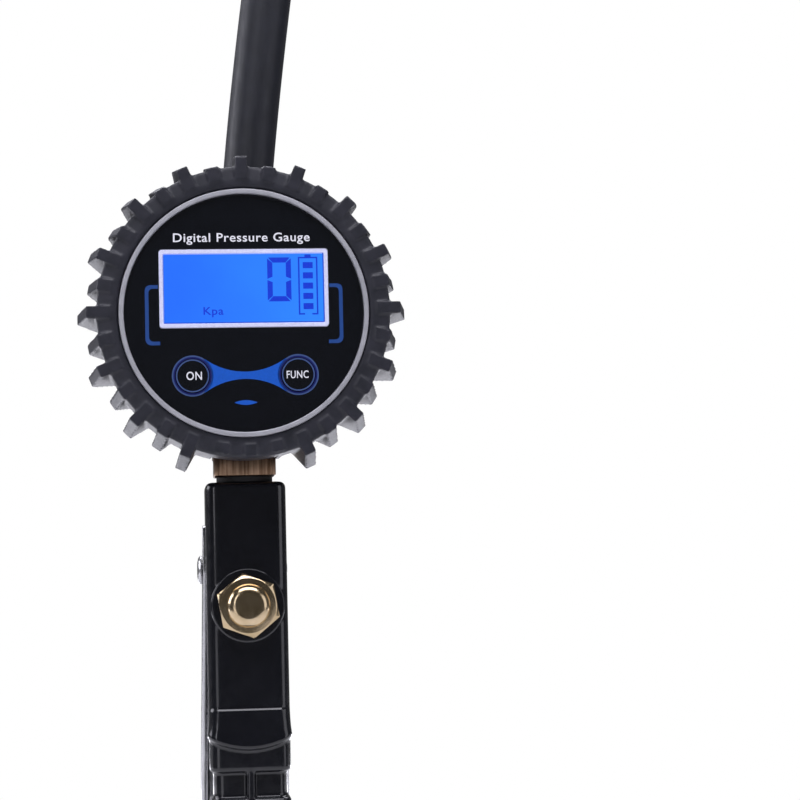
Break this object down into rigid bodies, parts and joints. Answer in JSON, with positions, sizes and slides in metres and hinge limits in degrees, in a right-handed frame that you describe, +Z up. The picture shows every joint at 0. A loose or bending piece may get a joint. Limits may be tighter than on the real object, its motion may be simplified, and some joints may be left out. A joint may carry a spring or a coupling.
{
  "type": "digital tire pressure gauge",
  "caption": "Hand-held digital tire inflator gauge: round display in a lugged rubber boot, squeeze-lever valve handle, short hose and lock-on chuck.",
  "frame": {"origin": "centre of the inlet nipple's end face, at the bottom", "axes": "+Z up the handle towards the gauge, -Y out of the display, +X to the right of the display"},
  "size_m": [0.087, 0.056, 0.4347],
  "materials": {
    "boot_rubber": "moulded matt rubber",
    "bezel_silver": "satin silver ring",
    "dial_gloss": "gloss black printed face",
    "lcd_frame_white": "white moulded frame",
    "lcd": "blue backlit display",
    "diffuser": "translucent light guide",
    "case_plastic": "black moulded ABS",
    "board_green": "solder-masked laminate",
    "cell_wrap": "plain sleeved cell",
    "steel": "nickel-plated steel",
    "chrome": "bright plated pressed steel",
    "brass": "turned brass",
    "handle_paint": "gloss black paint on a die casting",
    "hose_rubber": "smooth air hose cover",
    "seal_rubber": "nitrile seal"
  },
  "bodies": {
    "handle": {"protective_boot": "boot_rubber", "bezel_ring": "bezel_silver", "dial_panel": "dial_gloss", "lcd_frame": "lcd_frame_white", "lcd_glass": "lcd", "backlight_diffuser": "diffuser", "on_switch": "case_plastic", "func_switch": "case_plastic", "circuit_board": "board_green", "board_screw_left": "steel", "board_screw_right": "steel", "gauge_case": "case_plastic", "battery_door": "case_plastic", "door_screw": "steel", "battery_lower": "cell_wrap", "battery_upper": "cell_wrap", "contact_bridge": "steel", "contact_positive": "steel", "contact_negative": "steel", "battery_spring_lower": "steel", "battery_spring_upper": "steel", "pressure_sensor": "steel", "sensor_cable": "case_plastic", "gauge_shank": "brass", "shank_seal": "seal_rubber", "handle_body": "handle_paint", "lever_pin": "steel", "valve_plug": "brass", "stem_o_ring": "seal_rubber", "valve_spring": "steel", "inlet_plug": "steel", "inlet_filter": "brass", "hose_fitting": "brass", "hose_ferrule": "steel", "hose": "hose_rubber", "chuck_ferrule": "steel", "chuck_body": "chrome", "chuck_seal": "seal_rubber", "core_depressor": "brass", "chuck_pin": "steel", "chuck_spring": "steel"},
    "lever": {"lever": "chrome"},
    "valve_stem": {"valve_stem": "brass", "valve_seal": "seal_rubber"},
    "on_button": {"on_button": "dial_gloss"},
    "func_button": {"func_button": "dial_gloss"},
    "chuck_clip": {"chuck_clip": "steel"}
  },
  "joints": [
    {"name": "lever_squeeze", "type": "hinge", "parent": "handle", "child": "lever", "pos_m": [0, 0.007, 0.1355], "axis": [-1, 0, 0], "range_deg": [0, 9]},
    {"name": "valve_lift", "type": "slide", "parent": "handle", "child": "valve_stem", "axis": [0, -1, 0], "range_m": [0, 0.00151], "stiffness_N_per_m": 3000, "deforming": ["valve_spring"]},
    {"name": "on_press", "type": "slide", "parent": "handle", "child": "on_button", "axis": [0, 1, 0], "range_m": [0, 0.0004]},
    {"name": "func_press", "type": "slide", "parent": "handle", "child": "func_button", "axis": [0, 1, 0], "range_m": [0, 0.0004]},
    {"name": "chuck_release", "type": "hinge", "parent": "handle", "child": "chuck_clip", "pos_m": [0.02668, 0.0056, 0.41777], "axis": [0.9913, 0, -0.1314], "range_deg": [0, 10], "deforming": ["chuck_spring"]}
  ],
  "couplings": [
    {"joint": "valve_lift", "follows": "lever_squeeze", "m_per_rad": 0.0096}
  ]
}
